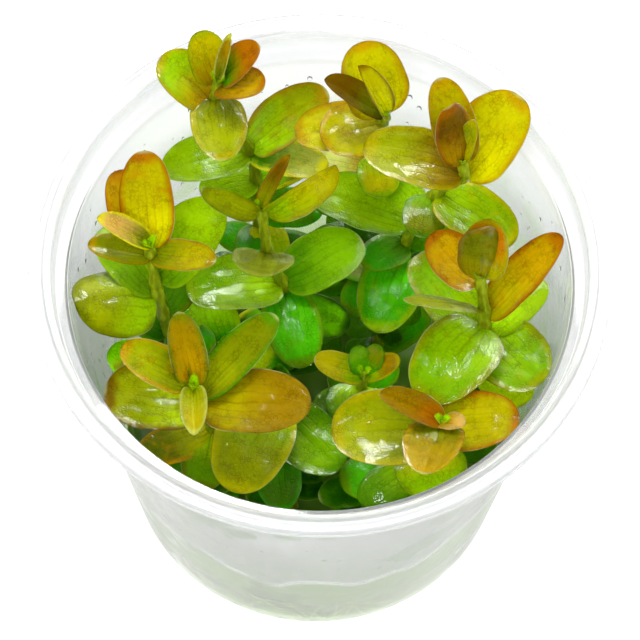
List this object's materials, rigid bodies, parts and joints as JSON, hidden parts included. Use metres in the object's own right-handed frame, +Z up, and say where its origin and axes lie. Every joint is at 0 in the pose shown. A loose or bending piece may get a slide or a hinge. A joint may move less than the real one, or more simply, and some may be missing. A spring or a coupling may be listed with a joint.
{
  "type": "colorata lemon bacopa in its culture cup",
  "caption": "Bunch of gold and green round-leaved water plants standing in pale gel in a low, round, milky plastic culture cup with a flanged rim and no lid",
  "frame": {"origin": "centre of the cup's flat base, on the surface that it stands on", "axes": "+Z is up, along the cup's axis. +X is to the right and +Y to the back in the picture's view."},
  "size_m": [0.1, 0.1, 0.093],
  "materials": {
    "cup_plastic": "milky see-through polypropylene, smooth and glossy, misted with condensation on the inside",
    "growing_gel": "pale see-through growing gel, wet on top",
    "stem": "living stem, olive green and slightly ribbed",
    "leaf_green": "living leaf, mid green, waxy and finely veined",
    "leaf_lime": "living leaf, yellow-green, waxy and finely veined",
    "leaf_yellow": "living leaf, yellow, waxy and finely veined",
    "leaf_orange": "living leaf, orange with redder edges, waxy and finely veined",
    "leaf_bronze": "living leaf, bronze brown, waxy and finely veined"
  },
  "bodies": {
    "root": {"cup": "cup_plastic", "gel": "growing_gel", "stem_back_left": "stem", "stem_back": "stem", "stem_back_right": "stem", "stem_right": "stem", "stem_front_right": "stem", "stem_front_left": "stem", "stem_centre": "stem", "stem_left": "stem", "stem_small": "stem", "stem_front": "stem", "stem_middle": "stem", "leaf_back_left_1": "leaf_lime", "leaf_back_left_2": "leaf_yellow", "leaf_back_left_3": "leaf_orange", "leaf_back_left_4": "leaf_orange", "leaf_back_left_5": "leaf_lime", "leaf_back_left_6": "leaf_green", "leaf_back_left_7": "leaf_lime", "leaf_back_1": "leaf_yellow", "leaf_back_2": "leaf_bronze", "leaf_back_3": "leaf_yellow", "leaf_back_4": "leaf_orange", "leaf_back_right_1": "leaf_yellow", "leaf_back_right_2": "leaf_yellow", "leaf_back_right_3": "leaf_orange", "leaf_back_right_4": "leaf_bronze", "leaf_back_right_5": "leaf_lime", "leaf_back_right_6": "leaf_green", "leaf_back_right_7": "leaf_green", "leaf_right_1": "leaf_bronze", "leaf_right_2": "leaf_orange", "leaf_right_3": "leaf_orange", "leaf_right_4": "leaf_lime", "leaf_right_5": "leaf_green", "leaf_right_6": "leaf_lime", "leaf_right_7": "leaf_lime", "leaf_front_right_1": "leaf_yellow", "leaf_front_right_2": "leaf_yellow", "leaf_front_right_3": "leaf_orange", "leaf_front_right_4": "leaf_green", "leaf_front_left_1": "leaf_orange", "leaf_front_left_2": "leaf_orange", "leaf_front_left_3": "leaf_yellow", "leaf_front_left_4": "leaf_green", "leaf_front_left_5": "leaf_lime", "leaf_centre_1": "leaf_orange", "leaf_centre_2": "leaf_orange", "leaf_centre_3": "leaf_lime", "leaf_centre_4": "leaf_green", "leaf_centre_5": "leaf_green", "leaf_centre_6": "leaf_green", "leaf_left_1": "leaf_yellow", "leaf_left_2": "leaf_orange", "leaf_left_3": "leaf_yellow", "leaf_left_4": "leaf_lime", "leaf_left_5": "leaf_lime", "leaf_front_1": "leaf_lime", "leaf_front_2": "leaf_green"}
  },
  "joints": []
}
